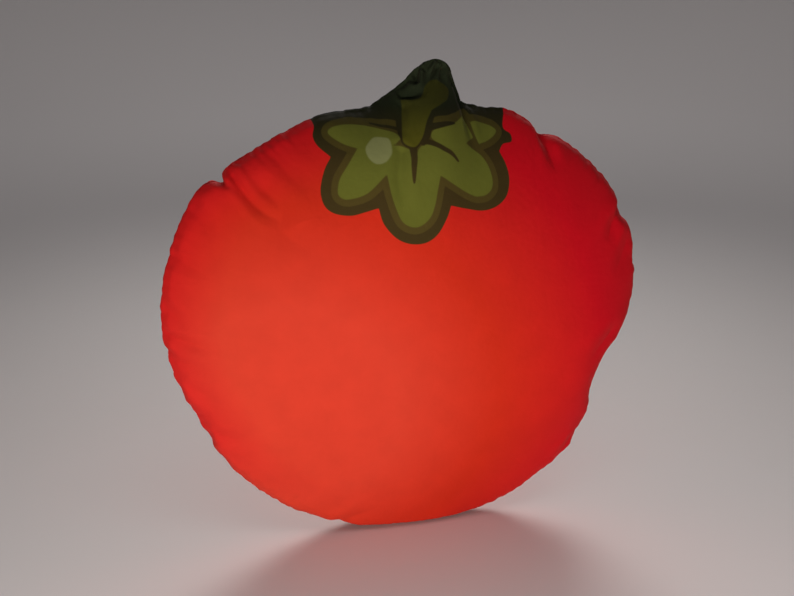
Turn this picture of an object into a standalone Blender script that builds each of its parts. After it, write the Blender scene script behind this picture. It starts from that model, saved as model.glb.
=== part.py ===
"""A stuffed throw cushion in the shape of a tomato, standing on its squashed lower edge.

Two printed fabric panels are sewn together round their outline, turned right side out and filled
with polyester fibre. The outline takes in a short stem at the top. The lockstitch seam has a needle
thread and a bobbin thread, and a hand-sewn ladder stitch closes the gap that the fibre went in by.

Metres, +Z up. X is across the tomato, the front faces -Y, and the seam lies in the plane y = 0.
The origin is on the floor under the middle of the cushion.
"""

import math

import bmesh
import bpy
from mathutils import Matrix, Vector

# Body
BODY_HALF_WIDTH = 0.200
SHOULDER_RISE = 0.160  # from the widest line up to the top of the body
SHOULDER_SQUARENESS = 2.2  # exponent of the upper outline; 2 would be an ellipse
LOWER_SQUARENESS = 1.88  # exponent of the lower outline
HALF_DEPTH = 0.072  # from the seam plane to the belly
BELLY_ROUNDNESS = 2.2  # exponents of the section through the belly:
SEAM_SHARPNESS = 0.6  # the second is under 1, so the panels meet at an angle
BASE_SQUASH = 0.010  # how far the lower edge is pressed flat against the floor
MIDDLE_HEIGHT = BODY_HALF_WIDTH - BASE_SQUASH  # height of the widest line

# Stem
STEM_RISE = 0.037  # above the body's outline
STEM_ANGLE = math.radians(84)  # direction of its tip, from +X
STEM_LEFT_SPREAD = math.radians(9.5)  # the left side flares
STEM_RIGHT_SPREAD = math.radians(7.2)  # the right side is steep
STEM_THINNING = 0.55  # how much flatter the stem is than the belly's section

# Fabric, seam and thread
FABRIC = 0.0006
SEAM_ALLOWANCE = 0.006  # turned inside, from the stitch line to the raw edge
GAP = 0.0004  # left between two neighbouring pieces
MACHINE_THREAD = 0.0004
HAND_THREAD = 0.0006
LOCKSTITCH_INSET = 0.0025  # the stitch line, inside the folded edge
OPENING_START = math.radians(-44)  # the gap that is closed by hand, low on the right
OPENING_END = math.radians(-12)
LADDER_PITCH = 0.006
LADDER_HALF_WIDTH = 0.0015

# Filling
FIBRE_EDGE_GAP = 0.009  # the fibre doesn't reach into the sharp edge
FIBRE_SIDE_GAP = 0.0015
FIBRE_EDGE_ROUNDNESS = 6
FIBRE_BASE = 0.008  # above the allowance that stands up inside the base
WAD_HALF_WIDTH = 0.011
WAD_HALF_DEPTH = 0.007
WAD_HALF_LENGTH = 0.013
WAD_REACH = 0.169  # from the middle of the body to the middle of the wad

# Mesh fineness
SEGMENTS = 80
RINGS = 20
STEM_CROWDING = 0.5  # draws the segments together at the stem
THREAD_POINTS = 120  # once round the outline


def smooth_step(low, high, value):
    share = min(max((value - low) / (high - low), 0), 1)
    return share * share * (3 - 2 * share)


def stem_share(angle):
    """1 in the direction of the stem's tip, falling to 0 on both sides of it."""
    away = math.remainder(angle - STEM_ANGLE, math.tau)
    if away > 0:
        return math.exp(-((away / STEM_LEFT_SPREAD) ** 2))
    return math.exp(-(abs(away / STEM_RIGHT_SPREAD) ** 3))


def body_radius(angle):
    """Distance from the middle of the body to its outline, without the stem."""
    across, up = abs(math.cos(angle)), math.sin(angle)
    rise, power = BODY_HALF_WIDTH, LOWER_SQUARENESS
    if up > 0:
        rise, power = SHOULDER_RISE, SHOULDER_SQUARENESS
    total = (across / BODY_HALF_WIDTH) ** power + (abs(up) / rise) ** power
    return total ** (-1 / power)


def outline_radius(angle):
    return body_radius(angle) + STEM_RISE * stem_share(angle)


def half_depth(radius, angle):
    """How far the fabric stands from the seam plane, at this distance from the middle."""
    share = min(radius / outline_radius(angle), 1)
    dome = (1 - share**BELLY_ROUNDNESS) ** SEAM_SHARPNESS
    thinning = STEM_THINNING * stem_share(angle) * smooth_step(0.4, 1, share)
    return HALF_DEPTH * dome * (1 - thinning)


def outline_point(angle, y=0):
    """The folded edge in this direction, above the floor."""
    radius = outline_radius(angle)
    height = MIDDLE_HEIGHT + radius * math.sin(angle)
    return Vector((radius * math.cos(angle), y, max(height, 0)))


def inward(point, before, after):
    """The direction in the seam plane from this point of the outline, square to its neighbours' line."""
    along = (after - before).normalized()
    square = Vector((-along.z, 0, along.x))
    middle = Vector((0, point.y, MIDDLE_HEIGHT))
    return square if square.dot(middle - point) > 0 else -square


def seam_point(angle, inset, y):
    """A point this far inside the folded edge."""
    point = outline_point(angle, y)
    return point + inset * inward(point, outline_point(angle - 0.02, y), outline_point(angle + 0.02, y))


def crowded(angle):
    """Moves an even spread of directions towards the stem, where the outline turns most."""
    return angle - STEM_CROWDING * math.sin(angle - STEM_ANGLE)


def new_object(name, mesh, material, collection):
    obj = bpy.data.objects.new(name, mesh)
    mesh.materials.append(material)
    collection.objects.link(obj)
    return obj


def new_material(name, color, roughness):
    material = bpy.data.materials.new(name)
    material.use_nodes = True
    shader = material.node_tree.nodes["Principled BSDF"]
    shader.inputs["Base Color"].default_value = (*color, 1)
    shader.inputs["Roughness"].default_value = roughness
    shader.inputs["Metallic"].default_value = 0
    material.diffuse_color = (*color, 1)
    return material


def ball(segments, rings):
    """A unit sphere with its poles on Y, in a new bmesh."""
    bm = bmesh.new()
    turn = Matrix.Rotation(math.pi / 2, 4, "X")
    bmesh.ops.create_uvsphere(bm, u_segments=segments, v_segments=rings, radius=1, matrix=turn)
    return bm


def mesh_from(bm, name):
    bmesh.ops.recalc_face_normals(bm, faces=bm.faces)
    mesh = bpy.data.meshes.new(name)
    bm.to_mesh(mesh)
    bm.free()
    mesh.shade_smooth()
    return mesh


def add_solidify(obj, thickness):
    """Gives an open surface its thickness on the inner side."""
    solidify = obj.modifiers.new("fabric thickness", "SOLIDIFY")
    solidify.thickness = thickness
    solidify.offset = -1
    solidify.use_even_offset = True


def fold_allowance(bm):
    """Carries the panel's edge on as a strip that lies flat inside the cover."""
    rim = [edge for edge in bm.edges if edge.is_boundary]
    strip = bmesh.ops.extrude_edge_only(bm, edges=rim)["geom"]
    moves = {}
    for vert in strip:
        if isinstance(vert, bmesh.types.BMVert):
            before, after = [edge.other_vert(vert).co for edge in vert.link_edges if edge.is_boundary]
            moves[vert] = SEAM_ALLOWANCE * inward(vert.co, before, after)
    for vert, move in moves.items():
        vert.co += move


def fabric_panel(name, side, material, collection):
    """One half of the cover: a bowl with its seam allowance folded in. side is -1 at the front."""
    bm = ball(SEGMENTS, RINGS)
    beyond = [v for v in bm.verts if v.co.y * side < -1e-4]
    bmesh.ops.delete(bm, geom=beyond, context="VERTS")
    seam_y = side * GAP / 2
    for vert in bm.verts:
        angle = crowded(math.atan2(vert.co.z, vert.co.x))
        radius = outline_radius(angle) * math.hypot(vert.co.x, vert.co.z)
        height = MIDDLE_HEIGHT + radius * math.sin(angle)
        depth = half_depth(radius, angle)
        vert.co = (radius * math.cos(angle), seam_y + side * depth, max(height, 0))
    fold_allowance(bm)
    mesh = mesh_from(bm, name)
    belly = max(mesh.polygons, key=lambda face: side * face.center.y)
    if side * belly.normal.y < 0:
        mesh.flip_normals()
    panel = new_object(name, mesh, material, collection)
    add_solidify(panel, FABRIC)
    return panel


def belly_filling(material, collection):
    """The mass of fibre inside the body, a little clear of the fabric all round."""
    bm = ball(SEGMENTS, RINGS)
    for vert in bm.verts:
        share = min(math.hypot(vert.co.x, vert.co.z), 1)
        angle = crowded(math.atan2(vert.co.z, vert.co.x))
        radius = (body_radius(angle) - FIBRE_EDGE_GAP) * share
        edge = (1 - share**FIBRE_EDGE_ROUNDNESS) ** (1 / 2)
        depth = max(half_depth(radius, angle) - FIBRE_SIDE_GAP, 0) * edge
        height = MIDDLE_HEIGHT + radius * math.sin(angle)
        side = math.copysign(1, vert.co.y)
        vert.co = (radius * math.cos(angle), side * depth, max(height, FIBRE_BASE))
    return new_object("belly_filling", mesh_from(bm, "belly_filling"), material, collection)


def stem_filling(material, collection):
    """The small wad of fibre that was pushed into the stem first."""
    bm = ball(32, 16)
    bmesh.ops.scale(bm, verts=bm.verts, vec=(WAD_HALF_WIDTH, WAD_HALF_DEPTH, WAD_HALF_LENGTH))
    wad = new_object("stem_filling", mesh_from(bm, "stem_filling"), material, collection)
    direction = Vector((math.cos(STEM_ANGLE), 0, math.sin(STEM_ANGLE)))
    wad.location = Vector((0, 0, MIDDLE_HEIGHT)) + direction * WAD_REACH
    wad.rotation_euler.y = math.pi / 2 - STEM_ANGLE
    return wad


def thread(name, points, diameter, material, collection):
    """A round thread through the points, with closed ends."""
    curve = bpy.data.curves.new(name, "CURVE")
    curve.dimensions = "3D"
    curve.bevel_depth = diameter / 2
    curve.bevel_resolution = 1
    curve.use_fill_caps = True
    spline = curve.splines.new("POLY")
    spline.points.add(len(points) - 1)
    for place, point in zip(spline.points, points):
        place.co = (*point, 1)
    return new_object(name, curve, material, collection)


def lockstitch_thread(name, side, material, collection):
    """The thread on the wrong side of one panel, from one end of the gap round to the other."""
    y = side * (GAP / 2 + FABRIC + GAP + MACHINE_THREAD / 2)
    start = STEM_ANGLE - math.pi
    round_twice = [crowded(start + math.tau * i / THREAD_POINTS) for i in range(2 * THREAD_POINTS)]
    sewn = [angle for angle in round_twice if OPENING_END < angle < OPENING_START + math.tau]
    points = [seam_point(angle, LOCKSTITCH_INSET, y) for angle in sewn]
    return thread(name, points, MACHINE_THREAD, material, collection)


def ladder_stitches(material, collection):
    """Short rungs of hand thread over the folded edges, joined along each fold."""
    length = (OPENING_END - OPENING_START) * BODY_HALF_WIDTH
    count = round(length / LADDER_PITCH)
    outside = -(GAP + HAND_THREAD / 2)
    points = []
    for step in range(count + 1):
        angle = OPENING_START + (OPENING_END - OPENING_START) * step / count
        first = LADDER_HALF_WIDTH * (-1) ** step
        points.append(seam_point(angle, outside, first))
        points.append(seam_point(angle, outside, -first))
    return thread("closing_ladder_thread", points, HAND_THREAD, material, collection)


def main():
    for obj in list(bpy.data.objects):
        bpy.data.objects.remove(obj)
    cushion = bpy.data.collections.new("tomato_cushion")
    bpy.context.scene.collection.children.link(cushion)

    front_print = new_material("front printed cotton", (0.78, 0.055, 0.022), 0.85)
    back_print = new_material("back printed cotton", (0.72, 0.05, 0.02), 0.85)
    fibre = new_material("polyester fibre", (0.88, 0.88, 0.85), 0.95)
    machine_thread = new_material("machine thread", (0.70, 0.06, 0.03), 0.6)
    hand_thread = new_material("hand thread", (0.66, 0.05, 0.03), 0.6)

    fabric_panel("front_panel", -1, front_print, cushion)
    fabric_panel("back_panel", 1, back_print, cushion)
    belly_filling(fibre, cushion)
    stem_filling(fibre, cushion)
    lockstitch_thread("needle_thread", -1, machine_thread, cushion)
    lockstitch_thread("bobbin_thread", 1, machine_thread, cushion)
    ladder_stitches(hand_thread, cushion)


main()
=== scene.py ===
"""The looks of the tomato shaped throw cushion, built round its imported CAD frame.

Two flat fabric panels are cut to a pattern, joined round the edge and inflated by cloth simulation,
which gathers the seam as real filling does. The sewn shape is then fitted to the CAD outline, stood on
its squashed lower edge, split into its two panels and given its printed cotton.
"""

import math

import bmesh
import bpy
import numpy as np
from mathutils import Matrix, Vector, noise
from mathutils.geometry import delaunay_2d_cdt


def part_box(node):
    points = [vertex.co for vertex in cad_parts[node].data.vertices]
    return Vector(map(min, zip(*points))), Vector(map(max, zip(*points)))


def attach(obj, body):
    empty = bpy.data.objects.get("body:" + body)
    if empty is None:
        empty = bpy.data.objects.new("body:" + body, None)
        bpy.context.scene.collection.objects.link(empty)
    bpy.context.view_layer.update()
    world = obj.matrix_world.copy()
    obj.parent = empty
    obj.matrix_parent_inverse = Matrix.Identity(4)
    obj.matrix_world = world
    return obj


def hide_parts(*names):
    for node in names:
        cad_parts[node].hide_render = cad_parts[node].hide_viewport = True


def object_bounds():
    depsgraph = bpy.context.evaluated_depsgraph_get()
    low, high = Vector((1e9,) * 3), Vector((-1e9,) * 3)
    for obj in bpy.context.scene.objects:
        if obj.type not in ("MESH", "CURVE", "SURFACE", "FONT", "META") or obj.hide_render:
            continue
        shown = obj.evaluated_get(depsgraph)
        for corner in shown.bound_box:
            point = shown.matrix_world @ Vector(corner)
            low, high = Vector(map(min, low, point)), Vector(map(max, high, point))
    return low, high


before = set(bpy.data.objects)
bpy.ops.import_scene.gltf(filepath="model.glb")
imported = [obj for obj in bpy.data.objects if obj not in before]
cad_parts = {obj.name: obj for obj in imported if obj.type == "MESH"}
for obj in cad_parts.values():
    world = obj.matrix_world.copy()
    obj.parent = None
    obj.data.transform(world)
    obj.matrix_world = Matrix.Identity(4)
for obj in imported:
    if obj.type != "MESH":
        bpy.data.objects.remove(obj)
cad_low, cad_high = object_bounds()

# The finished seam line, as the CAD part has it
HALF_WIDTH = (cad_high[0] - cad_low[0]) / 2
HALF_DEPTH = (cad_high[1] - cad_low[1]) / 2
MIDDLE_HEIGHT = 0.190
SHOULDER_RISE = 0.160
SHOULDER_SQUARENESS = 2.2
LOWER_SQUARENESS = 1.88
STEM_RISE = 0.037
STEM_ANGLE = math.radians(84)
STEM_LEFT_SPREAD = math.radians(9.5)
STEM_RIGHT_SPREAD = math.radians(7.2)

# Places where the seam is drawn in, or stands out where the pull is below zero: direction in degrees,
# how far in metres, and half width in degrees
SEAM_PULLS = [
    (195.5, 0.002, 2.5),
    (190.5, 0.002, 3.0),
    (185.8, 0.001, 2.5),
    (51.0, 0.004, 2.5),
    (20.0, 0.0035, 3.0),
    (7.9, 0.003, 2.0),
    (-11.0, 0.0022, 5.0),
    (-16.5, 0.003, 3.0),
    (-18.5, 0.0118, 14.0),
    (-26.0, 0.007, 8.0),
    (-44.0, -0.004, 3.0),
    (-48.0, -0.002, 8.0),
    (-66.0, -0.003, 7.0),
    (-107.0, 0.0055, 8.0),
    (204.0, 0.005, 8.0),
    (210.5, 0.002, 2.5),
    (217.0, 0.002, 3.0),
    (63.0, -0.006, 7.0),
    (71.5, -0.003, 2.0),
    (78.5, 0.002, 2.0),
    (96.5, -0.0035, 5.0),
    (113.0, -0.005, 12.0),
    (145.0, -0.0015, 16.0),
    (149.0, -0.0045, 4.5),
    (156.0, -0.002, 4.0),
]

# Narrow puckers beside tight stitches, in the same units
PUCKERS = [
    (143.4, 0.0075, 1.0),
    (18.5, 0.001, 1.0),
    (-39.8, 0.0025, 1.0),
    (186.0, 0.0015, 1.0),
]
PUCKER_REACH = 0.012  # how far from the seam a pucker is felt

# Cutting pattern and filling
PATTERN_GROWTH = 1.075  # the flat panels are this much larger than the filled cushion
STEM_GROWTH = 1.2  # the stem draws in more than the body
CELL = 0.0055  # spacing of the cloth's points
PATTERN_SIDE = 0.26  # the pattern ends before this far sideways and down, and this far up
PATTERN_TOP = 0.30
LENS = 0.03  # half depth that the filling starts from
FILL_VOLUME = 0.0088  # cubic metres
FILL_FRAMES = 24
FINER_ROUNDS = 2  # subdivisions after filling

# Easing: the belly is smoothed by hand after filling, the seam's gathers are kept
EASE_ROUNDS = 36
EASE_START = 0.010  # distance from the seam where easing begins, and where it is complete
EASE_FULL = 0.040
STEM_EASE_SPREAD = 22  # how far round from the stem more is smoothed, in degrees
FIT_ROUNDS = 150  # how often the move to the outline is spread from point to point
FIT_REACH = 1.7  # how many neighbours on the rim share a move, and how many beside the stem
STEM_FIT_REACH = 0.8
STEM_FIT_SPREAD = 16  # how far round from the stem that holds, in degrees

# Folds pressed into the covers, in millimetres: points seen from the front, half width and depth
FRONT_FOLDS = [
    ([(-142, 307), (-135, 295), (-126, 284), (-115, 277), (-104, 271)], 3.0, 3.6),
    ([(-120, 297), (-111, 284), (-110, 268), (-95, 254), (-80, 240)], 7.0, 3.0),
    ([(-110, 320), (-104, 311), (-98, 302), (-92, 292)], 6.0, 1.6),
    ([(-172, 283), (-165, 270), (-158, 257)], 5.5, 2.2),
    ([(-188, 247), (-179, 240), (-162, 231)], 4.5, 2.0),
    ([(-197, 206), (-190, 199), (-180, 190)], 4.5, 2.4),
    ([(-199, 186), (-188, 180), (-170, 175), (-148, 171)], 4.0, 3.0),
    ([(-197, 164), (-180, 158), (-158, 149)], 5.5, 2.4),
    ([(-188, 147), (-174, 137), (-156, 122)], 5.5, 2.2),
    ([(-170, 106), (-158, 99), (-138, 96)], 4.5, 1.8),
    ([(107, 331), (109, 319), (111, 306), (113, 296)], 3.4, 3.4),
    ([(177, 259), (166, 249), (158, 236)], 4.2, 3.0),
    ([(182, 232), (174, 218), (166, 206)], 5.0, 1.2),
    ([(166, 160), (149, 146), (134, 132)], 6.0, 2.2),
    ([(140, 62), (132, 50), (122, 42)], 4.5, 2.0),
    ([(-62, 12), (-30, 25)], 5.0, 1.8),
    ([(34, 372), (38, 362), (40, 353), (41, 340), (41, 327), (45, 316)], 2.4, 3.6),
    ([(-11, 353), (-17, 341), (-20, 326)], 3.0, 2.6),
    ([(-20, 325), (-24, 308), (-24, 288), (-22, 272)], 4.0, 3.0),
]
BACK_FOLDS = [
    ([(-143, 300), (-120, 282)], 6.0, 4.0),
    ([(104, 330), (100, 300)], 6.0, 3.0),
    ([(184, 244), (160, 232)], 6.0, 2.5),
    ([(-196, 190), (-165, 180)], 6.0, 2.5),
    ([(34, 372), (40, 335)], 4.0, 3.5),
    ([(-4, 370), (-18, 335)], 4.0, 2.5),
]
TIP_CRUMPLES = [  # a depth below zero is a raised crease
    ([(15, 385), (11, 382), (9, 379), (7, 374)], 1.5, -3.6),
    ([(9, 376), (7, 370), (4, 367), (-1, 366), (-6, 363)], 1.5, -3.3),
    ([(7, 381), (4, 376), (3, 371), (4, 367)], 1.5, 3.9),
    ([(-9, 360), (-4, 361), (1, 363), (8, 366)], 1.7, 3.3),
    ([(21, 385), (17, 379), (15, 375), (12, 371)], 1.4, -2.7),
    ([(21, 380), (17, 376), (12, 370)], 1.5, 3.3),
    ([(27, 380), (24, 374), (24, 368)], 1.5, 2.4),
    ([(-2, 372), (-8, 366), (-14, 358)], 1.6, 2.1),
]

# Gathers beside the seam
GATHER_PITCH = 0.0085
GATHER_HEIGHT = 0.0005
GATHER_REACH = 0.008
LIP = 0.38  # how far the panels are pressed together at the stitching
LIP_START = 0.002
LIP_END = 0.0065
SEAM_SINK = 0.0016
SEAM_ALLOWANCE = 0.006
ALLOWANCE_SPREAD = 0.0006

# Sewing threads, in metres, and the gap closed by hand, in degrees
MACHINE_THREAD = 0.0004
STITCH = 0.0025
STITCH_HEIGHT = 0.0003
LOCKSTITCH_INSET = 0.0025
STEM_THREAD_SPREAD = 12  # how far round from the stem the thread lies deeper, in degrees
HAND_THREAD = 0.0006
LADDER_PITCH = 0.006
LADDER_HALF_WIDTH = 0.0013
OPENING_START = -44
OPENING_END = -12

# Fibre filling
FIBRE_GAP = 0.011  # between the belly's fibre and the seam
FIBRE_FULLNESS = 0.88  # the fibre's depth as a share of the cover's
LUMP_SIZE = 0.022
LUMP_HEIGHT = 0.0015
WAD_SHARE = 0.42  # the stem's wad, as a share of its frame box either way from the middle

# Colours of the red ground, on the flat pattern in metres, with painted light and shade: an orange-red
# pool of painted light round one point, then red, then crimson painted shade
LIT_ORANGE = (0.74, 0.054, 0.027)
RED = (0.67, 0.028, 0.0105)
SHADED_CRIMSON = (0.72, 0.0052, 0.0145)
LIGHT_POOL_MIDDLE = (-0.11, -0.07, 0)
ORANGE_REACH = 0.09  # distances from there where it starts to turn, is red, and is all crimson
RED_REACH = 0.17
CRIMSON_REACH = 0.27
SEAM_SHADE_REACH = 0.05  # how far from the seam the ground turns towards crimson, and how much: painted shade along the edges
SEAM_SHADE_SHARE = 0.7
SEAT_FADE = (-0.17, -0.1)  # heights where this painted shade begins, above the seat, and is complete

# Inks of the print. Where there are two, the first is low on the print and the second high: the darker
# border, band and stalk high up are painted shade, and the lighter leaf green high up is painted light.
BORDER_INKS_SHADED_HIGH = ((0.059, 0.039, 0.011), (0.0125, 0.0165, 0.0068))
# The stem tip's ink, made lighter by a painted highlight of its crumples
TIP_INK_AND_HIGHLIGHT = (0.026, 0.033, 0.016)
BAND_INKS_SHADED_HIGH = ((0.088, 0.063, 0.0145), (0.059, 0.05, 0.0105))
LEAF_INKS_LIT_HIGH = ((0.133, 0.14, 0.02), (0.148, 0.157, 0.024))
STALK_INKS_SHADED_HIGH = ((0.155, 0.14, 0.0125), (0.043, 0.043, 0.0075))
PALE_SPOT_COLOR = (0.26, 0.27, 0.104)

FIBRE_COLOR = (0.85, 0.85, 0.82)
MACHINE_THREAD_COLOR = (0.7, 0.03, 0.02)
HAND_THREAD_COLOR = (0.62, 0.03, 0.02)

# How fine each texture is
DYE_SCALE = 40.0
WEAVE_SCALE = 520.0
GRAIN_SCALE = 220.0
CLUMP_SCALE = 45.0
STRAND_SCALE = 380.0
THREAD_FIBRE_SCALE = 3000.0

# How full the covers and the fibre are, from slack to tight
FULL = 0.7
WAD_FULL = 0.6

# Studio
FLOOR_COLOR = (0.72, 0.68, 0.67)
FLOOR_RADIUS = 2.2  # where the floor begins to curve up
COVE_RADIUS = 1.6
FLOOR_SIDES = 96
WORLD_STRENGTH = 0.08
LAMPS = [  # name, location, target, size, power, colour and spread in degrees
    ("key", (-0.42, -1.05, 0.16), (-0.05, 0, 0.1), (0.7, 0.1), 1.6, (1, 0.96, 0.9), 70),
    ("back key", (0.5, 1.5, 1.0), (0, 0, 0.18), (0.9, 0.6), 2.4, (1, 0.97, 0.94), 60),
    ("floor light", (-0.1, -0.95, 1.3), (-0.1, -0.95, 0), (1.6, 0.9), 4, (1, 0.97, 0.95), 80),
    ("back light", (0.7, 2.2, 1.8), (0.3, 0.8, 0), (2.4, 1.2), 12, (1, 0.97, 0.96), 180),
]
CAMERA_AZIMUTH = -16
CAMERA_ELEVATION = 17
CAMERA_TARGET = (-0.009, 0.0026, 0.195)
CAMERA_DISTANCE = 1.1
CAMERA_LENS = 61.7

# The printed calyx and stem, as smooth lines through points of the flat pattern, in millimetres.
# Lines meet in a corner where one list ends and the next begins.
CALYX_EDGE = [
    [(-96, 200), (-86, 170), (-83, 160), (-85, 151), (-82, 143), (-73, 134)],
    [(-73, 134), (-79, 124), (-83, 110), (-81, 99), (-74, 93), (-62, 91), (-52, 93), (-41, 96)],
    [(-41, 96), (-38, 85), (-30, 75), (-20, 70), (-8, 70), (2, 76), (10, 88), (14, 97)],
    [(14, 97), (27, 94), (42, 91), (55, 93), (65, 100), (70, 112), (70, 123), (67, 134)],
    [(67, 134), (72, 139), (80, 140), (81, 146), (76, 151), (78, 158), (84, 170), (96, 200)],
    [(96, 200), (60, 262), (-60, 262), (-96, 200)],
]
JOINED_LEAVES = [
    [(-52, 140), (-61, 143), (-69, 148), (-73, 153), (-69, 157),
     (-57, 159), (-45, 159), (-36, 157), (-28, 154)],
    [(-28, 154), (-22, 152), (-19.5, 148), (-22, 145), (-26, 142)],
    [(-26, 142), (-20, 142), (-14, 138)],
    [(-14, 138), (-9.5, 135)],
    [(-9.5, 135), (-7.5, 139), (-4, 141.5), (2, 142), (8, 139.5), (15, 136), (24, 130)],
    [(24, 130), (20, 137), (12, 141), (6, 144), (3, 148),
     (6, 153), (14, 155), (23, 157), (33, 161), (42, 166)],
    [(42, 166), (44, 158), (46, 147)],
    [(46, 147), (36, 143)],
    [(36, 143), (43, 138), (50, 132), (54, 124), (55, 114),
     (53, 107), (48, 103), (42, 102), (33, 104), (7, 119)],
    [(7, 119), (4, 109), (1, 98), (-3, 89), (-10, 83),
     (-17, 82), (-24, 86), (-28, 95), (-31, 106), (-33, 120)],
    [(-33, 120), (-45, 109), (-52, 105), (-60, 103), (-66, 103),
     (-70, 107), (-68, 117), (-61, 127), (-52, 140)],
]
SIDE_LEAF = [
    [(47, 159), (54, 158), (60, 156), (65, 154), (69, 150), (65, 146), (58, 143), (50, 141.5)],
    [(50, 141.5), (48, 149), (47, 159)],
]
STEM_PRINT = [
    [(-11, 178), (-15, 164), (-18, 148), (-17, 143), (-12, 140),
     (-8, 142), (-3, 149), (2, 160), (8, 169)],
    [(8, 169), (18, 174), (25, 178), (28.5, 185), (25, 191),
     (17, 195), (10, 191), (5, 183), (0, 178), (-11, 178)],
]
VEINS = [  # dark lines, each tapering from its first half width to its last
    ([(-12, 142), (-12, 132), (-13, 124), (-14, 113)], 2.9, 0.4),
    ([(-3, 145), (6, 142), (13, 138.5), (20, 135), (25, 129.5)], 2.2, 0.9),
    ([(1, 155), (12, 157), (19, 158), (28, 158.5)], 2.8, 0.4),
    ([(-16, 156), (-26, 157), (-32, 158.5), (-39, 161)], 1.5, 0.5),
    ([(7, 166), (3, 158), (0.5, 150), (-4, 143)], 2.8, 1.9),
    ([(-15, 170), (-17.5, 160), (-18.2, 152), (-17, 144)], 2.6, 1.6),
]
# A pale round patch laid over the upper left leaf and the notch beside it
SPOT = [
    [(-33, 149), (-28, 147), (-27, 141), (-28, 135), (-33, 129),
     (-40, 128), (-45, 133), (-46, 140), (-42, 146)],
    [(-42, 146), (-38, 149), (-33, 149)],
]
BAND_TOPS = [  # where the band is wider, above the two upper leaves
    [
        [(-60, 157), (-59, 164), (-49, 165.5), (-37, 164.5), (-28, 163), (-18, 162.5)],
        [(-18, 162.5), (-20, 150), (-60, 157)],
    ],
    [
        [(5, 162), (12, 164), (20, 164.5), (27, 166), (36, 168), (46, 170)],
        [(46, 170), (46, 157), (5, 150), (5, 162)],
    ],
]
BAND_WIDTH = 0.005  # the olive-brown band round the leaves
PRINT_LOWEST = 0.055  # the print lies above this height
FAR_OUTSIDE = 0.1  # the distance given to places below it
STEM_SURROUND = 0.0014  # the dark line round the printed stem


def smooth_step(low, high, value):
    share = np.clip((value - low) / (high - low), 0, 1)
    return share * share * (3 - 2 * share)


def stem_share(angle):
    away = math.remainder(angle - STEM_ANGLE, math.tau)
    if away > 0:
        return math.exp(-((away / STEM_LEFT_SPREAD) ** 2))
    return math.exp(-(abs(away / STEM_RIGHT_SPREAD) ** 3))


def body_radius(angle):
    across, up = abs(math.cos(angle)), math.sin(angle)
    rise, power = HALF_WIDTH, LOWER_SQUARENESS
    if up > 0:
        rise, power = SHOULDER_RISE, SHOULDER_SQUARENESS
    return ((across / HALF_WIDTH) ** power + (abs(up) / rise) ** power) ** (-1 / power)


def seam_pull(angle):
    """How far the stitching draws the edge in, in this direction. Below zero, the edge stands out."""
    total = 0
    for direction, depth, spread in SEAM_PULLS:
        away = math.degrees(math.remainder(angle - math.radians(direction), math.tau))
        total += depth * math.exp(-((away / spread) ** 2))
    return total


def seam_radius(angle):
    return body_radius(angle) + STEM_RISE * stem_share(angle) - seam_pull(angle)


def pattern_radius(angle):
    """The cut edge of the flat panels."""
    stem = STEM_RISE * STEM_GROWTH * stem_share(angle)
    return body_radius(angle) * PATTERN_GROWTH + stem - seam_pull(angle)


def even_outline():
    """Points of the cut edge, one cell apart."""
    angles = np.linspace(0, math.tau, 4001)
    radii = np.array([pattern_radius(angle) for angle in angles])
    line = np.stack([radii * np.cos(angles), radii * np.sin(angles)], 1)
    steps = np.linalg.norm(np.diff(line, axis=0), axis=1)
    along = np.concatenate([[0], np.cumsum(steps)])
    count = round(along[-1] / CELL)
    places = np.arange(count) * along[-1] / count
    return np.stack([np.interp(places, along, line[:, 0]), np.interp(places, along, line[:, 1])], 1)


def flat_pattern():
    """Points and triangles of one flat panel. The points of the cut edge come first."""
    rim = even_outline()
    points = [Vector(point) for point in rim]
    rows = np.arange(-PATTERN_SIDE, PATTERN_TOP, CELL * math.sqrt(3) / 2)
    for number, z in enumerate(rows):
        for x in np.arange(-PATTERN_SIDE, PATTERN_SIDE, CELL) + (number % 2) * CELL / 2:
            if math.hypot(x, z) > pattern_radius(math.atan2(z, x)):
                continue
            if np.min((rim[:, 0] - x) ** 2 + (rim[:, 1] - z) ** 2) > (0.7 * CELL) ** 2:
                points.append(Vector((x, z)))
    count = len(rim)
    edges = [(i, (i + 1) % count) for i in range(count)]
    found = delaunay_2d_cdt(points, edges, [list(range(count))], 1, 1e-6)
    return np.array([tuple(point) for point in found[0]]), [tuple(face) for face in found[2]], count


def sewn_bag(flat, faces, rim_count):
    """Both panels joined at the edge, as a flat lens: the front's points, then the back's inner ones."""
    reach = np.array([pattern_radius(math.atan2(z, x)) for x, z in flat])
    share = np.clip(np.hypot(flat[:, 0], flat[:, 1]) / reach, 0, 1)
    depth = LENS * np.sqrt(1 - share**2)
    depth[:rim_count] = 0
    inner = slice(rim_count, None)
    front = np.stack([flat[:, 0], -depth, flat[:, 1]], 1)
    back = np.stack([flat[inner, 0], depth[inner], flat[inner, 1]], 1)
    shift = len(flat) - rim_count
    back_faces = [tuple(i if i < rim_count else i + shift for i in reversed(face)) for face in faces]
    mesh = bpy.data.meshes.new("sewn_bag")
    mesh.from_pydata(np.vstack([front, back]).tolist(), [], faces + back_faces)
    bag = bpy.data.objects.new("sewn_bag", mesh)
    bpy.context.scene.collection.objects.link(bag)
    return bag


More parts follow.
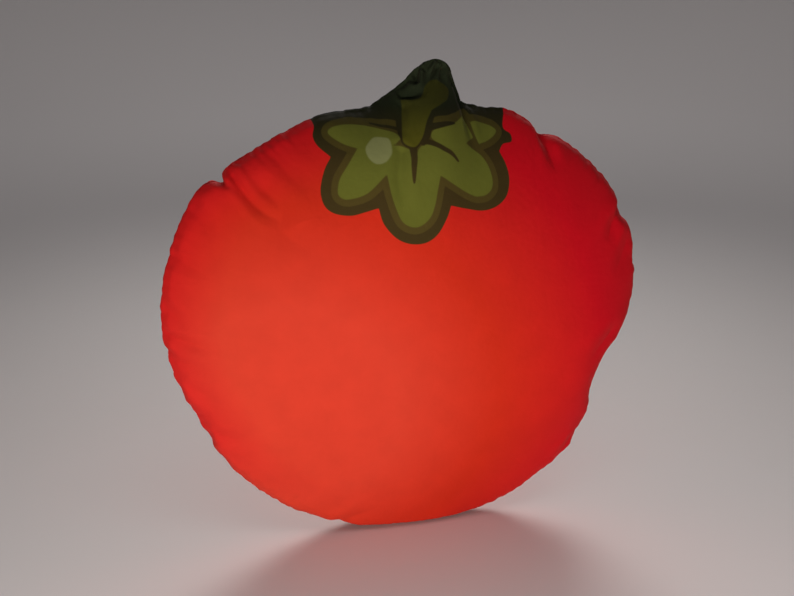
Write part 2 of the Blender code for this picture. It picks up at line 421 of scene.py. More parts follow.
def fill(bag):
    """Inflates the bag to the volume of its filling and returns its points."""
    cloth = bag.modifiers.new("filling", "CLOTH")
    settings = cloth.settings
    settings.quality = 6
    settings.mass = 0.2
    settings.tension_stiffness = 40
    settings.compression_stiffness = 20
    settings.shear_stiffness = 5
    settings.bending_stiffness = 1.5
    settings.air_damping = 5
    settings.use_pressure = True
    settings.use_pressure_volume = True
    settings.target_volume = FILL_VOLUME
    settings.pressure_factor = 40
    settings.effector_weights.gravity = 0
    cloth.collision_settings.use_collision = False
    for number in range(1, FILL_FRAMES + 1):
        bpy.context.scene.frame_set(number)
    evaluated = bag.evaluated_get(bpy.context.evaluated_depsgraph_get())
    points = np.empty(len(bag.data.vertices) * 3)
    evaluated.data.vertices.foreach_get("co", points)
    bpy.data.objects.remove(bag)
    bpy.context.scene.frame_set(1)
    return points.reshape(-1, 3)


def near_stem(directions, spread):
    """1 in the stem's direction, fading to 0 either side."""
    return np.exp(-(((directions - STEM_ANGLE) / math.radians(spread)) ** 2))


def smooth_round(values, reach):
    """A copy of values along the rim, each averaged with its neighbours as far as reach counts them."""
    away = np.minimum(np.arange(len(values)), len(values) - np.arange(len(values)))
    weight = np.exp(-((away / reach) ** 2))
    weight /= weight.sum()
    turned = np.fft.fft(weight)[:, None] * np.fft.fft(values, axis=0)
    return np.real(np.fft.ifft(turned, axis=0))


def mesh_pairs(flat, faces, rim_count):
    """Every pair of neighbouring points in the sewn bag, both ways round."""
    shift = len(flat) - rim_count
    front = np.array(faces)
    back = np.where(front < rim_count, front, front + shift)
    corners = np.vstack([front, back])
    pairs = np.vstack([corners[:, [0, 1]], corners[:, [1, 2]], corners[:, [2, 0]]])
    return np.vstack([pairs, pairs[:, ::-1]])


def neighbour_mean(values, pairs):
    count = np.bincount(pairs[:, 0], minlength=len(values))
    totals = [np.bincount(pairs[:, 0], column[pairs[:, 1]]) for column in values.T]
    return np.stack(totals, 1) / count[:, None]


def fit_to_outline(points, flat, faces, rim_count):
    """Draws the filled shape to the CAD outline, keeping the small gathers of its seam."""
    directions = np.arctan2(flat[:, 1], flat[:, 0])
    rim_directions = directions[:rim_count]
    radii = np.array([seam_radius(angle) for angle in rim_directions])
    wanted = radii[:, None] * np.column_stack([np.cos(rim_directions), np.sin(rim_directions)])
    move = wanted - points[:rim_count, [0, 2]]
    beside_stem = near_stem(rim_directions, STEM_FIT_SPREAD)[:, None]
    wide, narrow = smooth_round(move, FIT_REACH), smooth_round(move, STEM_FIT_REACH)
    move = wide * (1 - beside_stem) + narrow * beside_stem

    order = np.argsort(rim_directions)
    share = np.hypot(flat[:, 0], flat[:, 1]) / np.array([pattern_radius(angle) for angle in directions])
    around = rim_directions[order]
    nearest = [np.interp(directions, around, part[order], period=math.tau) for part in move.T]
    field = np.column_stack(nearest) * share[:, None] ** 2
    field = np.vstack([field, field[rim_count:]])
    pairs = mesh_pairs(flat, faces, rim_count)
    for _ in range(FIT_ROUNDS):
        field = neighbour_mean(field, pairs)
        field[:rim_count] = move
    fitted = points + np.column_stack([field[:, 0], np.zeros(len(field)), field[:, 1]])
    fitted[:, 1] *= HALF_DEPTH / np.abs(points[:, 1]).max()
    fitted[:, 2] += MIDDLE_HEIGHT
    return fitted


def ease(points, flat, faces, rim_count):
    """Smooths the belly, as a hand strokes it after filling, and leaves the gathers beside the seam."""
    pairs = mesh_pairs(flat, faces, rim_count)
    directions = np.arctan2(flat[:, 1], flat[:, 0])
    reach = np.array([pattern_radius(angle) for angle in directions])
    inset = reach - np.hypot(flat[:, 0], flat[:, 1])
    across = smooth_step(EASE_START, EASE_FULL, inset + 0.03 * near_stem(directions, STEM_EASE_SPREAD))
    along = np.where(np.arange(len(flat)) < rim_count, 0, across)
    weight = 0.6 * np.stack([along, across, along], 1)
    weight = np.vstack([weight, weight[rim_count:]])
    for _ in range(EASE_ROUNDS):
        points = points + weight * (neighbour_mean(points, pairs) - points)
    return points


def stand_on_floor(points):
    """Flattens the lower edge against the floor, a little softly at the rim of the flat."""
    soft = 0.004
    height = points[:, 2]
    low = height < soft
    squashed = np.where(height > -3 * soft, (height + 3 * soft) ** 2 / (16 * soft), 0)
    points[low, 2] = np.minimum(squashed[low], soft)
    return points


def curve_through(points, steps=8):
    """A smooth line through the points, which keeps to them at both ends."""
    points = np.array(points, float) / 1000
    padded = np.vstack([2 * points[0] - points[1], points, 2 * points[-1] - points[-2]])
    line = []
    for i in range(1, len(padded) - 2):
        before, start, end, after = padded[i - 1 : i + 3]
        for t in np.arange(steps) / steps:
            line.append(
                0.5
                * (
                    2 * start
                    + (end - before) * t
                    + (2 * before - 5 * start + 4 * end - after) * t**2
                    + (3 * start - before - 3 * end + after) * t**3
                )
            )
    line.append(padded[-2])
    return np.array(line)


def outline_through(parts):
    """A closed outline made of smooth lines that meet in corners."""
    return np.vstack([curve_through(part)[:-1] for part in parts])


def along_line(places, line):
    """Each place's distance from the line, and how far along it, 0 to 1, its nearest point is."""
    steps = np.linalg.norm(np.diff(line, axis=0), axis=1)
    before = np.concatenate([[0], np.cumsum(steps)])
    best = np.full(len(places), np.inf)
    where = np.zeros(len(places))
    for start, end, length, done in zip(line[:-1], line[1:], steps, before):
        share = np.clip(((places - start) @ (end - start)) / length**2, 0, 1)
        distance = np.linalg.norm(places - start - share[:, None] * (end - start), axis=1)
        nearer = distance < best
        best[nearer] = distance[nearer]
        where[nearer] = (done + share[nearer] * length) / before[-1]
    return best, where


def inside_by(places, outline):
    """Distance to a closed outline, negative inside it."""
    closed = np.vstack([outline, outline[:1]])
    distance, _ = along_line(places, closed)
    inside = np.zeros(len(places), bool)
    for (x0, z0), (x1, z1) in zip(closed[:-1], closed[1:]):
        if z0 == z1:
            continue
        spans = (places[:, 1] < z0) != (places[:, 1] < z1)
        inside ^= spans & (places[:, 0] < x0 + (places[:, 1] - z0) * (x1 - x0) / (z1 - z0))
    return np.where(inside, -distance, distance)


def press_folds(points, normals, inset, folds):
    """Presses soft valleys with raised sides into the fabric, shallower right at the seam."""
    seen = points[:, [0, 2]]
    move = np.zeros(len(points))
    for route, half_width, depth in folds:
        distance, where = along_line(seen, curve_through(route))
        width = half_width / 1000 * (1 + 0.5 * where)
        valley = np.exp(-((distance / width) ** 1.5))
        ridge = np.exp(-(((distance - 2.1 * width) / width) ** 2))
        fade = 1 - smooth_step(0.35, 1, where)
        move -= depth / 1000 * fade * (valley - 0.3 * ridge)
    move *= 0.15 + 0.85 * smooth_step(0, 0.007, inset)
    return points + normals * move[:, None]


def gather_height(flat, inset):
    """Small ripples that stand off the seam, uneven in size along it."""
    along = np.arctan2(flat[:, 1], flat[:, 0]) * HALF_WIDTH
    turn = along * math.tau / GATHER_PITCH
    waves = np.sin(turn + 2 * np.sin(along * 41))
    waves += 0.6 * np.sin(turn * 0.57 + 3 * np.sin(along * 23))
    unevenness = 0.6 + 0.4 * np.sin(along * 57 + 1)
    fade = smooth_step(0, 0.0025, inset) * np.exp(-inset / GATHER_REACH)
    return GATHER_HEIGHT * waves * unevenness * fade


def pucker_in(points, inset):
    """Draws narrow puckers in at the seam, fading into the panel."""
    angles = np.degrees(np.arctan2(points[:, 2] - MIDDLE_HEIGHT, points[:, 0]))
    depth = np.zeros(len(points))
    for direction, pull, spread in PUCKERS:
        away = (angles - direction + 180) % 360 - 180
        depth += pull * np.exp(-((away / spread) ** 2))
    depth *= np.exp(-((inset / PUCKER_REACH) ** 2))
    return points - depth[:, None] * outward(points)


def outward(points):
    """Directions from the middle of the tomato, in the plane of the seam."""
    away = points - np.array([0, 0, MIDDLE_HEIGHT])
    away[:, 1] = 0
    return away / np.linalg.norm(away, axis=1)[:, None]


def finer(values, faces):
    """Loop subdivision: each triangle becomes four, and the open edge keeps to its own curve."""
    corners = values[faces]
    pairs = np.sort(np.vstack([faces[:, [0, 1]], faces[:, [1, 2]], faces[:, [2, 0]]]), 1)
    opposite = np.vstack([corners[:, 2], corners[:, 0], corners[:, 1]])
    edges, which, uses = np.unique(pairs, axis=0, return_inverse=True, return_counts=True)
    which = which.ravel()
    wings = np.zeros((len(edges), values.shape[1]))
    np.add.at(wings, which, opposite)
    open_edge = uses == 1
    ends = values[edges].sum(1)
    middles = np.where(open_edge[:, None], ends / 2, 0.375 * ends + 0.125 * wings)

    around = np.zeros_like(values)
    degree = np.zeros(len(values))
    rim_around = np.zeros_like(values)
    for here, there in ((0, 1), (1, 0)):
        np.add.at(around, edges[:, here], values[edges[:, there]])
        np.add.at(degree, edges[:, here], 1)
        np.add.at(rim_around, edges[open_edge, here], values[edges[open_edge, there]])
    share = np.where(degree == 3, 3 / 16, 3 / (8 * degree))[:, None]
    moved = values * (1 - degree[:, None] * share) + share * around
    rim = np.unique(edges[open_edge])
    moved[rim] = 0.75 * values[rim] + 0.125 * rim_around[rim]

    ab, bc, ca = len(values) + which.reshape(3, -1)
    a, b, c = faces.T
    quarters = [(a, ab, ca), (b, bc, ab), (c, ca, bc), (ab, bc, ca)]
    return np.vstack([moved, middles]), np.vstack([np.stack(part, 1) for part in quarters])


def set_attribute(mesh, name, values):
    attribute = mesh.attributes.get(name) or mesh.attributes.new(name, "FLOAT", "POINT")
    attribute.data.foreach_set("value", np.asarray(values, np.float32))


def attribute_values(mesh, name):
    values = np.empty(len(mesh.vertices), np.float32)
    mesh.attributes[name].data.foreach_get("value", values)
    return values.astype(float)


def point_array(mesh, kind="co"):
    values = np.empty(len(mesh.vertices) * 3, np.float32)
    mesh.vertices.foreach_get(kind, values)
    return values.reshape(-1, 3).astype(float)


def lay_print(mesh, flat):
    """Stores how far each point is inside each printed shape."""
    near = flat[:, 1] > PRINT_LOWEST
    places = flat[near]
    joined, side, left_top, right_top, stem, calyx, spot = [
        inside_by(places, outline_through(outline))
        for outline in (JOINED_LEAVES, SIDE_LEAF, *BAND_TOPS, STEM_PRINT, CALYX_EDGE, SPOT)
    ]
    leaf = np.minimum(joined, side)
    tops = np.minimum(left_top, right_top)
    vein = np.full(len(places), np.inf)
    for route, start, end in VEINS:
        distance, where = along_line(places, curve_through(route))
        vein = np.minimum(vein, distance - (end + (start - end) * np.sqrt(1 - where)) / 1000)
    shapes = {
        "calyx": calyx,
        "leaf": leaf,
        "band": np.minimum(leaf - BAND_WIDTH, tops),
        "line": np.minimum(vein, stem - STEM_SURROUND),
        "stem": stem,
        "spot": spot,
    }
    for name, distance in shapes.items():
        values = np.full(len(flat), FAR_OUTSIDE)
        values[near] = distance
        set_attribute(mesh, name, values)


def panel(name, points, flat, faces, rim_count, side):
    """One half of the cover as its own mesh, carrying its place in the flat pattern and its print."""
    if side > 0:
        points = np.vstack([points[:rim_count], points[len(flat) :]])
        faces = [tuple(reversed(face)) for face in faces]
    reach = np.array([pattern_radius(math.atan2(z, x)) for x, z in flat])
    inset = reach - np.hypot(flat[:, 0], flat[:, 1])
    values = np.column_stack([points[: len(flat)], flat, inset])
    faces = np.array(faces)
    for _ in range(FINER_ROUNDS):
        values, faces = finer(values, faces)
    mesh = bpy.data.meshes.new(name)
    pressed = pucker_in(values[:, :3], values[:, 5])
    pressed[:, 1] *= 1 - LIP * (1 - smooth_step(LIP_START, LIP_END, values[:, 5]))
    mesh.from_pydata(pressed.tolist(), [], faces.tolist())
    for number, attribute in enumerate(("flat_x", "flat_z", "inset")):
        set_attribute(mesh, attribute, values[:, 3 + number])
    split_stem(mesh)
    fine_flat = np.column_stack([attribute_values(mesh, "flat_x"), attribute_values(mesh, "flat_z")])
    inset = attribute_values(mesh, "inset")
    folds = FRONT_FOLDS + TIP_CRUMPLES if side < 0 else BACK_FOLDS
    normals = point_array(mesh, "normal")
    shaped = press_folds(point_array(mesh), normals, inset, folds)
    shaped += normals * gather_height(fine_flat, inset)[:, None]
    mesh.vertices.foreach_set("co", shaped.ravel())
    lay_print(mesh, fine_flat)
    finish_edge(mesh, side)
    mesh.shade_smooth()
    cover = bpy.data.objects.new(name, mesh)
    bpy.context.scene.collection.objects.link(cover)
    return cover


def split_stem(mesh):
    """Halves the triangles of the stem, which has the smallest creases."""
    bm = bmesh.new()
    bm.from_mesh(mesh)
    base = MIDDLE_HEIGHT + SHOULDER_RISE
    near = {vert for vert in bm.verts if vert.co.z > base - 0.002 and -0.03 < vert.co.x < 0.05}
    edges = [edge for edge in bm.edges if edge.verts[0] in near and edge.verts[1] in near]
    bmesh.ops.subdivide_edges(bm, edges=edges, cuts=1)
    bmesh.ops.triangulate(bm, faces=[face for face in bm.faces if len(face.verts) > 3])
    bm.to_mesh(mesh)
    bm.free()


def finish_edge(mesh, side):
    """Sinks the stitched edge a little, and turns the seam allowance in behind it."""
    bm = bmesh.new()
    bm.from_mesh(mesh)
    rim = [edge for edge in bm.edges if edge.is_boundary]
    inward = {}
    for vert in dict.fromkeys(vert for edge in rim for vert in edge.verts):
        ends = [edge.other_vert(vert).co for edge in vert.link_edges if edge.is_boundary]
        along = ends[1] - ends[0]
        across = Vector((-along.z, 0, along.x)).normalized()
        middle = Vector((0, vert.co.y, MIDDLE_HEIGHT))
        inward[vert] = across if across.dot(middle - vert.co) > 0 else -across
    turned = {}
    for vert, direction in inward.items():
        vert.co += direction * SEAM_SINK
        turned[vert] = bm.verts.new(vert.co, vert)
        turned[vert].co += direction * SEAM_ALLOWANCE + Vector((0, side * ALLOWANCE_SPREAD, 0))
    for edge in rim:
        loop = edge.link_loops[0]
        start, end = loop.vert, loop.link_loop_next.vert
        bm.faces.new((end, start, turned[start], turned[end]), loop.face)
    bm.to_mesh(mesh)
    bm.free()


def seam_line(points, rim_count, start, end, spacing):
    """Even points along the stitched seam between two directions in degrees, and the way out at each."""
    rim = points[:rim_count]
    steps = np.arange(0, rim_count, 0.05)
    whole = steps.astype(int)
    t = (steps - whole)[:, None]
    parts = [rim[(whole + shift) % rim_count] for shift in (-1, 0, 1, 2)]
    weights = [(1 - t) ** 3, 3 * t**3 - 6 * t**2 + 4, -3 * t**3 + 3 * t**2 + 3 * t + 1, t**3]
    line = sum(part * weight for part, weight in zip(parts, weights)) / 6
    line = pucker_in(line, np.zeros(len(line)))
    angles = np.degrees(np.arctan2(line[:, 2] - MIDDLE_HEIGHT, line[:, 0]))
    first = np.argmin(np.abs((angles - start + 180) % 360 - 180))
    last = np.argmin(np.abs((np.roll(angles, -first) - end + 180) % 360 - 180))
    line = np.roll(line, -first, axis=0)[: last + 1]
    lengths = np.linalg.norm(np.diff(line, axis=0), axis=1)
    along = np.concatenate([[0], np.cumsum(lengths)])
    places = np.arange(0, along[-1], spacing)
    line = np.stack([np.interp(places, along, line[:, axis]) for axis in range(3)], 1)
    ahead = np.gradient(line, axis=0)
    out = np.column_stack([ahead[:, 2], np.zeros(len(line)), -ahead[:, 0]])
    out *= np.sign(np.sum(out * outward(line), 1))[:, None]
    return line, out / np.linalg.norm(out, axis=1)[:, None]


def thread_piece(name, route, diameter):
    """A sewing thread as a thin round tube."""
    curve = bpy.data.curves.new(name, "CURVE")
    curve.dimensions = "3D"
    curve.bevel_depth = diameter / 2
    curve.bevel_resolution = 1
    curve.use_fill_caps = True
    spline = curve.splines.new("POLY")
    spline.points.add(len(route) - 1)
    spline.points.foreach_set("co", np.column_stack([route, np.ones(len(route))]).ravel())
    guide = bpy.data.objects.new(name + "_guide", curve)
    bpy.context.scene.collection.objects.link(guide)
    mesh = bpy.data.meshes.new_from_object(guide.evaluated_get(bpy.context.evaluated_depsgraph_get()))
    bpy.data.objects.remove(guide)
    piece = bpy.data.objects.new(name, mesh)
    bpy.context.scene.collection.objects.link(piece)
    mesh.shade_smooth()
    return piece


def machine_stitches(name, points, rim_count, side):
    """One thread of the lockstitch, along its own panel and in to the other thread at each hole."""
    line, out = seam_line(points, rim_count, OPENING_END, OPENING_START + 360, STITCH / 4)
    directions = np.arctan2(line[:, 2] - MIDDLE_HEIGHT, line[:, 0])
    deeper = 1 + near_stem(directions, STEM_THREAD_SPREAD)
    line -= (SEAM_SINK + LOCKSTITCH_INSET * deeper)[:, None] * out
    raised = np.where(np.arange(len(line)) % 4 == 0, 0, STITCH_HEIGHT)
    line[:, 1] += side * (MACHINE_THREAD / 4 + raised)
    return thread_piece(name, line, MACHINE_THREAD)


def ladder_stitches(name, points, rim_count):
    """Short rungs of hand thread over the groove of the seam, joined inside each folded edge."""
    line, out = seam_line(points, rim_count, OPENING_START, OPENING_END, LADDER_PITCH)
    route = []
    inset = LOCKSTITCH_INSET
    for number, place in enumerate(line):
        first = LADDER_HALF_WIDTH * (-1) ** number
        for side, depth in ((first, inset), (first, 0), (-first, 0), (-first, inset)):
            route.append(place - out[number] * depth + np.array([0, side, 0]))
    return thread_piece(name, np.array(route), HAND_THREAD)


def lumps(points, size, height):
    """Uneven heights, as loose fibre has when it is pushed in by the handful."""
    return height * np.array([noise.noise(Vector(place) / size) for place in points])


def mesh_piece(name, points, faces):
    mesh = bpy.data.meshes.new(name)
    mesh.from_pydata(points.tolist(), [], faces)
    mesh.shade_smooth()
    piece = bpy.data.objects.new(name, mesh)
    bpy.context.scene.collection.objects.link(piece)
    return piece


def belly_fibre(points, flat, faces, rim_count):
    """The mass of fibre in the body: the shape of the filled bag without its stem, a little smaller."""
    angles = np.arctan2(points[:, 2] - MIDDLE_HEIGHT, points[:, 0])
    radii = np.hypot(points[:, 0], points[:, 2] - MIDDLE_HEIGHT)
    rim_angles = angles[:rim_count]
    order = np.argsort(rim_angles)
    reach = np.interp(angles, rim_angles[order], radii[:rim_count][order], period=math.tau)
    body = np.minimum(reach, [body_radius(angle) for angle in angles])
    shrink = (body - FIBRE_GAP) / reach
    inner = points * np.column_stack([shrink, np.full(len(points), FIBRE_FULLNESS), shrink])
    inner[:, 2] += MIDDLE_HEIGHT * (1 - shrink)
    shift = len(flat) - rim_count
    back = [tuple(i if i < rim_count else i + shift for i in reversed(face)) for face in faces]
    wad = mesh_piece("belly_fibre", inner, faces + back)
    normals = point_array(wad.data, "normal")
    inner -= normals * (LUMP_HEIGHT + lumps(inner, LUMP_SIZE, LUMP_HEIGHT))[:, None]
    wad.data.vertices.foreach_set("co", inner.ravel())
    return wad


def stem_fibre():
    """The small wad pushed into the stem first, in the place that the frame gives it."""
    low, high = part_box("stem_filling")
    bm = bmesh.new()
    bmesh.ops.create_icosphere(bm, subdivisions=5, radius=1)
    for vert in bm.verts:
        vert.co *= 0.9 + 0.16 * noise.noise(vert.co * 2.5) + 0.07 * noise.noise(vert.co * 7)
    bmesh.ops.scale(bm, verts=bm.verts, vec=(high - low) * WAD_SHARE)
    bmesh.ops.translate(bm, verts=bm.verts, vec=(low + high) / 2)
    mesh = bpy.data.meshes.new("stem_fibre")
    bm.to_mesh(mesh)
    bm.free()
    mesh.shade_smooth()
    wad = bpy.data.objects.new("stem_fibre", mesh)
    bpy.context.scene.collection.objects.link(wad)
    return wad


def simple_material(name, color, roughness):
    material = bpy.data.materials.new(name)
    material.use_nodes = True
    shader = material.node_tree.nodes["Principled BSDF"]
    shader.inputs["Base Color"].default_value = (*color, 1)
    shader.inputs["Roughness"].default_value = roughness
    return material


def add_node(material, kind, x, y, **inputs):
    """A node with its inputs set, or linked where the value is another node's output."""
    node = material.node_tree.nodes.new(kind)
    node.location = (x, y)
    for name, value in inputs.items():
        socket = node.inputs[int(name[1:]) if name[1:].isdigit() else name]
        if isinstance(value, bpy.types.NodeSocket):
            material.node_tree.links.new(value, socket)
        else:
            socket.default_value = value
    return node


def attribute_node(material, name, x, y):
    node = material.node_tree.nodes.new("ShaderNodeAttribute")
    node.attribute_name = name
    node.location = (x, y)
    return node.outputs["Fac"]


def ramp(material, value, low, high, x, y):
    """0 up to the low value, 1 from the high one, and even steps between."""
    return add_node(material, "ShaderNodeMapRange", x, y, i0=value, i1=low, i2=high).outputs[0]


def cloud(material, place, scale, detail, x, y, distortion=0.0):
    """Soft noise from 0 to 1."""
    values = {"Vector": place, "Scale": scale, "Detail": detail, "Distortion": distortion}
    return add_node(material, "ShaderNodeTexNoise", x, y, **values).outputs[0]


def within(material, distance, softness, x, y):
    """1 inside a printed shape and 0 outside it, with a slightly soft line between."""
    inside = add_node(material, "ShaderNodeMapRange", x, y, i0=distance, i1=softness, i2=-softness)
    inside.interpolation_type = "SMOOTHSTEP"
    return inside.outputs[0]


def mix(material, share, under, over, x, y, blend="MIX"):
    node = material.node_tree.nodes.new("ShaderNodeMix")
    node.data_type = "RGBA"
    node.blend_type = blend
    node.location = (x, y)
    for socket, value in ((node.inputs[0], share), (node.inputs[6], under), (node.inputs[7], over)):
        if isinstance(value, bpy.types.NodeSocket):
            material.node_tree.links.new(value, socket)
        else:
            socket.default_value = value if isinstance(value, float) else (*value, 1)
    return node.outputs[2]


def ground_with_painted_light(material, flat, height):
    """Orange-red painted light low on the left, then red, then crimson painted shade, which shows along
    the seam as well.
    """
    away = add_node(material, "ShaderNodeVectorMath", -1300, 450, i0=flat, i1=LIGHT_POOL_MIDDLE)
    away.operation = "DISTANCE"
    deeper = ramp(material, away.outputs[1], ORANGE_REACH, RED_REACH, -1100, 450)
    deepest = ramp(material, away.outputs[1], RED_REACH, CRIMSON_REACH, -1100, 600)
    inset = attribute_node(material, "inset", -1700, 600)
    # Painted shade: deeper crimson along the seam, left off the lit lower edge by the seat
    seam_shade = add_node(
        material, "ShaderNodeMapRange", -1500, 600, i0=inset, i1=SEAM_SHADE_REACH, i2=0.0, i4=SEAM_SHADE_SHARE
    ).outputs[0]
    off_seat = ramp(material, height, *SEAT_FADE, -1500, 750)
    edge = add_node(material, "ShaderNodeMath", -1300, 650, i0=seam_shade, i1=off_seat)
    edge.operation = "MULTIPLY"
    # Painted light: orange-red where the key light falls, turning to crimson painted shade away from it
    ground = mix(material, deeper, LIT_ORANGE, RED, -900, 450)
    ground = mix(material, deepest, ground, SHADED_CRIMSON, -800, 450)
    return mix(material, edge.outputs[0], ground, SHADED_CRIMSON, -700, 450)


def print_over(material, height, color):
    """The calyx and stem over the ground's colour, one ink over another, with painted shade towards the
    top and painted light on the upper leaves.
    """
    # Painted shade and light by height: border, band and stalk darken towards the top, the leaves lighten
    # above
    shade_towards_top = ramp(material, height, 0.125, 0.175, -1500, 100)
    leaf_light_above = ramp(material, height, 0.085, 0.12, -1500, -200)
    # Painted highlight: the stem tip is lighter, where its crumples catch the light
    tip_highlight = ramp(material, height, 0.17, 0.2, -1500, 250)
    border = mix(material, shade_towards_top, *BORDER_INKS_SHADED_HIGH, -1100, 100)
    border = mix(material, tip_highlight, border, TIP_INK_AND_HIGHLIGHT, -1000, 100)
    band = mix(material, shade_towards_top, *BAND_INKS_SHADED_HIGH, -1100, -50)
    green = mix(material, leaf_light_above, *LEAF_INKS_LIT_HIGH, -1100, -200)
    stalk = mix(material, shade_towards_top, *STALK_INKS_SHADED_HIGH, -1100, -350)
    layers = (  # each shape's name, the softness of its edge and its ink
        ("calyx", 0.0004, border),
        ("band", 0.0005, band),
        ("leaf", 0.0006, green),
        ("spot", 0.0008, PALE_SPOT_COLOR),
        ("line", 0.0005, border),
        ("stem", 0.0006, stalk),
    )
    for number, (shape, softness, ink) in enumerate(layers):
        distance = attribute_node(material, shape, -1700, -700 - 150 * number)
        share = within(material, distance, softness, -900 + 100 * number, 500)
        color = mix(material, share, color, ink, -800 + 100 * number, 200)
    return color


def woven_surface(material, flat):
    """The height of a plain weave from 0 to 1, and the normal of cloth woven so, a little uneven."""
    threads = []
    for direction, place in (("X", -300), ("Y", -500)):
        values = {"Vector": flat, "Scale": WEAVE_SCALE, "Distortion": 0.6, "Detail": 1.0}
        wave = add_node(material, "ShaderNodeTexWave", -900, place, **values)
        wave.bands_direction = direction
        threads.append(wave.outputs[1])
    weave = add_node(material, "ShaderNodeMath", -700, -400, i0=threads[0], i1=threads[1])
    weave.operation = "MULTIPLY"
    weave = weave.outputs[0]
    grain = cloud(material, flat, GRAIN_SCALE, 4.0, -900, -700)
    softer = add_node(
        material, "ShaderNodeBump", -500, -600, Strength=0.25, Distance=0.0012, Height=grain
    )
    woven = add_node(material, "ShaderNodeBump", -300, -500, Strength=0.35, Distance=0.0003, Height=weave)
    material.node_tree.links.new(softer.outputs[0], woven.inputs["Normal"])
    return weave, woven.outputs[0]


def printed_cotton(name):
    """Plain-weave cotton, dyed a little unevenly, with painted light and shade in its ground, print and
    weave, and the calyx printed on it.
    """
    material = bpy.data.materials.new(name)
    material.use_nodes = True
    links = material.node_tree.links
    shader = material.node_tree.nodes["Principled BSDF"]
    across = attribute_node(material, "flat_x", -1700, -350)
    height = attribute_node(material, "flat_z", -1700, -500)
    flat = add_node(material, "ShaderNodeCombineXYZ", -1500, -400, X=across, Y=height).outputs[0]

    color = print_over(material, height, ground_with_painted_light(material, flat, height))
    cloudy = cloud(material, flat, DYE_SCALE, 5.0, -1300, 300)
    uneven = add_node(material, "ShaderNodeMapRange", -1100, 300, i0=cloudy, i3=0.91, i4=1.09).outputs[0]
    color = mix(material, 1.0, color, uneven, -200, 300, "MULTIPLY")
    weave, normal = woven_surface(material, flat)
    # Painted shade in the weave: darker where it is low between the threads, lighter where it is high
    tint = add_node(material, "ShaderNodeMapRange", -500, -300, i0=weave, i3=0.9, i4=1.06).outputs[0]
    color = mix(material, 1.0, color, tint, -100, 100, "MULTIPLY")
    links.new(color, shader.inputs["Base Color"])
    links.new(normal, shader.inputs["Normal"])
    shader.inputs["Roughness"].default_value = 0.8
    shader.inputs["Specular IOR Level"].default_value = 0.05
    shader.inputs["Sheen Weight"].default_value = 0.03
    shader.inputs["Sheen Roughness"].default_value = 0.4
    shader.inputs["Sheen Tint"].default_value = (1, 0.7, 0.5, 1)
    return material


def polyester_fibre(name):
    """White matted fibre, with a bump of fine strands running every way."""
    material = simple_material(name, FIBRE_COLOR, 0.95)
    shader = material.node_tree.nodes["Principled BSDF"]
    place = material.node_tree.nodes.new("ShaderNodeTexCoord").outputs["Object"]
    clumps = cloud(material, place, CLUMP_SCALE, 4.0, -700, 200)
    strands = cloud(material, place, STRAND_SCALE, 5.0, -700, -100, distortion=3.0)
    color = mix(material, clumps, (0.9, 0.9, 0.87), (0.7, 0.7, 0.68), -400, 200)
    bump = add_node(material, "ShaderNodeBump", -300, -100, Strength=0.6, Distance=0.001, Height=strands)
    material.node_tree.links.new(color, shader.inputs["Base Color"])
    material.node_tree.links.new(bump.outputs[0], shader.inputs["Normal"])
    shader.inputs["Sheen Weight"].default_value = 0.3
    return material


def spun_thread(name, color):
    """Spun polyester thread: fine fibres, a little lighter where they stand up, as a painted highlight.
    """
    material = simple_material(name, color, 0.6)
    shader = material.node_tree.nodes["Principled BSDF"]
    place = material.node_tree.nodes.new("ShaderNodeTexCoord").outputs["Object"]
    fibres = cloud(material, place, THREAD_FIBRE_SCALE, 2.0, -700, 0)
    lighter = tuple(min(1, channel * 1.3) for channel in color)
    links = material.node_tree.links
    links.new(mix(material, fibres, color, lighter, -400, 150), shader.inputs["Base Color"])
    bump = add_node(material, "ShaderNodeBump", -300, -100, Strength=0.5, Distance=0.0001, Height=fibres)
    links.new(bump.outputs[0], shader.inputs["Normal"])
    shader.inputs["Sheen Weight"].default_value = 0.2
    return material


def aim(obj, target):
    obj.rotation_euler = (obj.location - Vector(target)).to_track_quat("Z", "Y").to_euler()


def area_light(name, location, target, size, power, color, spread):
    light = bpy.data.lights.new(name, "AREA")
    light.spread = math.radians(spread)
    light.shape = "RECTANGLE"
    light.size, light.size_y = size
    light.energy = power
    light.color = color
    lamp = bpy.data.objects.new(name, light)
    lamp.location = location
    lamp.visible_camera = False
    aim(lamp, target)
    bpy.context.scene.collection.objects.link(lamp)


def camera(azimuth, elevation, target, distance, lens):
    a, e = math.radians(azimuth), math.radians(elevation)
    back = Vector((math.sin(a) * math.cos(e), -math.cos(a) * math.cos(e), math.sin(e)))
    eye = bpy.data.objects.new("camera", bpy.data.cameras.new("camera"))
    eye.data.lens = lens
    eye.location = Vector(target) + back * distance
    aim(eye, target)
    bpy.context.scene.collection.objects.link(eye)
    bpy.context.scene.camera = eye


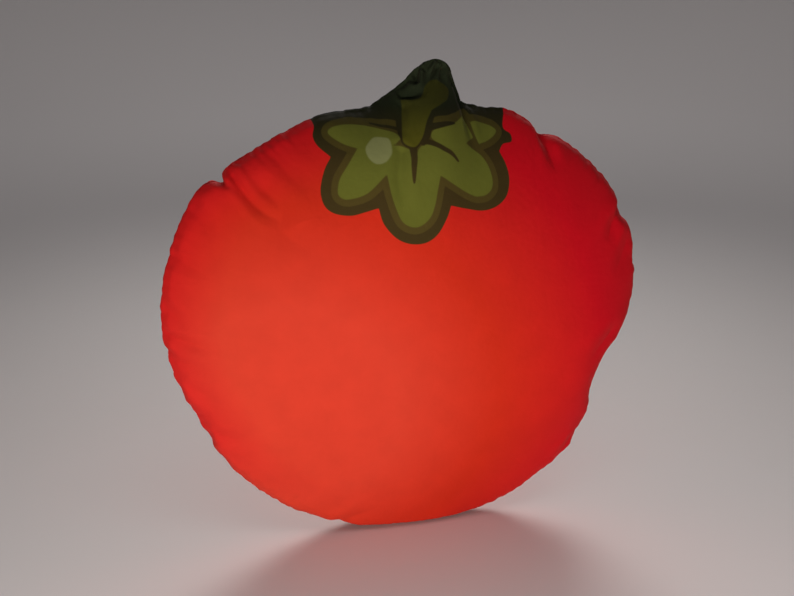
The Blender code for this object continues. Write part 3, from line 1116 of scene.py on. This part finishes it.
def round_floor():
    """A wide floor that curves up on every side, so that no edge of it shows."""
    bm = bmesh.new()
    steps = 24
    profile = [(0.6, 0.0), (FLOOR_RADIUS, 0.0)]
    for step in range(1, steps + 1):
        turn = math.pi / 2 * step / steps
        radius = FLOOR_RADIUS + COVE_RADIUS * math.sin(turn)
        profile.append((radius, COVE_RADIUS * (1 - math.cos(turn))))
    rings = []
    turns = [math.tau * i / FLOOR_SIDES for i in range(FLOOR_SIDES)]
    for radius, height in profile:
        ring = [(radius * math.cos(turn), radius * math.sin(turn), height) for turn in turns]
        rings.append([bm.verts.new(place) for place in ring])
    bm.faces.new(rings[0])
    for inner, outer in zip(rings[:-1], rings[1:]):
        for i in range(FLOOR_SIDES):
            j = (i + 1) % FLOOR_SIDES
            bm.faces.new((inner[i], outer[i], outer[j], inner[j]))
    mesh = bpy.data.meshes.new("floor")
    bm.to_mesh(mesh)
    bm.free()
    mesh.shade_smooth()
    mesh.materials.append(simple_material("pale floor", FLOOR_COLOR, 0.9))
    floor = bpy.data.objects.new("floor", mesh)
    bpy.context.scene.collection.objects.link(floor)


def studio():
    """A low soft key light from the front left, one for the back, and soft light on the floor."""
    round_floor()
    for lamp in LAMPS:
        area_light(*lamp)
    world = bpy.data.worlds.new("studio")
    world.use_nodes = True
    world.node_tree.nodes["Background"].inputs["Color"].default_value = (0.92, 0.94, 1, 1)
    world.node_tree.nodes["Background"].inputs["Strength"].default_value = WORLD_STRENGTH
    bpy.context.scene.world = world
    bpy.context.scene.view_settings.view_transform = "Standard"


def carry(piece, material, slot, *nodes, soft=None):
    """Gives a finished piece its material, hides the frame's parts that it stands for, and hangs it under
    the root.
    """
    piece.data.materials.clear()
    piece.data.materials.append(material)
    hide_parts(*nodes)
    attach(piece, "root")


def main():
    camera(CAMERA_AZIMUTH, CAMERA_ELEVATION, CAMERA_TARGET, CAMERA_DISTANCE, CAMERA_LENS)
    studio()
    flat, faces, rim_count = flat_pattern()
    points = fill(sewn_bag(flat, faces, rim_count))
    points = ease(points, flat, faces, rim_count)
    points = stand_on_floor(fit_to_outline(points, flat, faces, rim_count))
    front = panel("front_cover", points, flat, faces, rim_count, -1)
    back = panel("back_cover", points, flat, faces, rim_count, 1)
    cotton = printed_cotton("printed cotton")
    carry(front, cotton, "front_print", "front_panel", soft=FULL)
    carry(back, cotton, "back_print", "back_panel", soft=FULL)

    fibre = polyester_fibre("polyester fibre")
    carry(belly_fibre(points, flat, faces, rim_count), fibre, "fibre", "belly_filling", soft=FULL)
    carry(stem_fibre(), fibre, "fibre", "stem_filling", soft=WAD_FULL)

    machine_thread = spun_thread("machine thread", MACHINE_THREAD_COLOR)
    hand_thread = spun_thread("hand thread", HAND_THREAD_COLOR)
    needle = machine_stitches("needle_stitches", points, rim_count, -1)
    bobbin = machine_stitches("bobbin_stitches", points, rim_count, 1)
    carry(needle, machine_thread, "machine_thread", "needle_thread")
    carry(bobbin, machine_thread, "machine_thread", "bobbin_thread")
    ladder = ladder_stitches("closing_stitches", points, rim_count)
    carry(ladder, hand_thread, "hand_thread", "closing_ladder_thread")


main()
